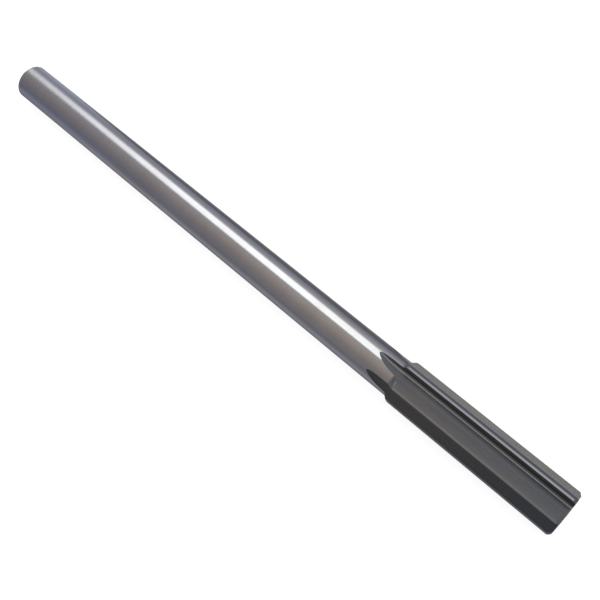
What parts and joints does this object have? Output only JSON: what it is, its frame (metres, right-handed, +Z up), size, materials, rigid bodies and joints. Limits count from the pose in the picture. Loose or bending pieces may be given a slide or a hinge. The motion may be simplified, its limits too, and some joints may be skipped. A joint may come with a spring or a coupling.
{
  "type": "machine reamer",
  "caption": "Straight-shank machine reamer: plain round shank and a slightly larger straight-fluted cutting head, lying on its side.",
  "frame": {"origin": "on the surface that it lies on, under the middle of its bounding box", "axes": "+X along the tool's axis to the cutting end, +Z up. It rests on two lands and the end of the shank, so its axis rises 0.160 degrees towards +X, and the mounts state that exact direction"},
  "size_m": [0.1778, 0.0112, 0.0103],
  "materials": {
    "tool_steel": "ground"
  },
  "bodies": {
    "root": {"reamer_body": "tool_steel"}
  },
  "joints": []
}
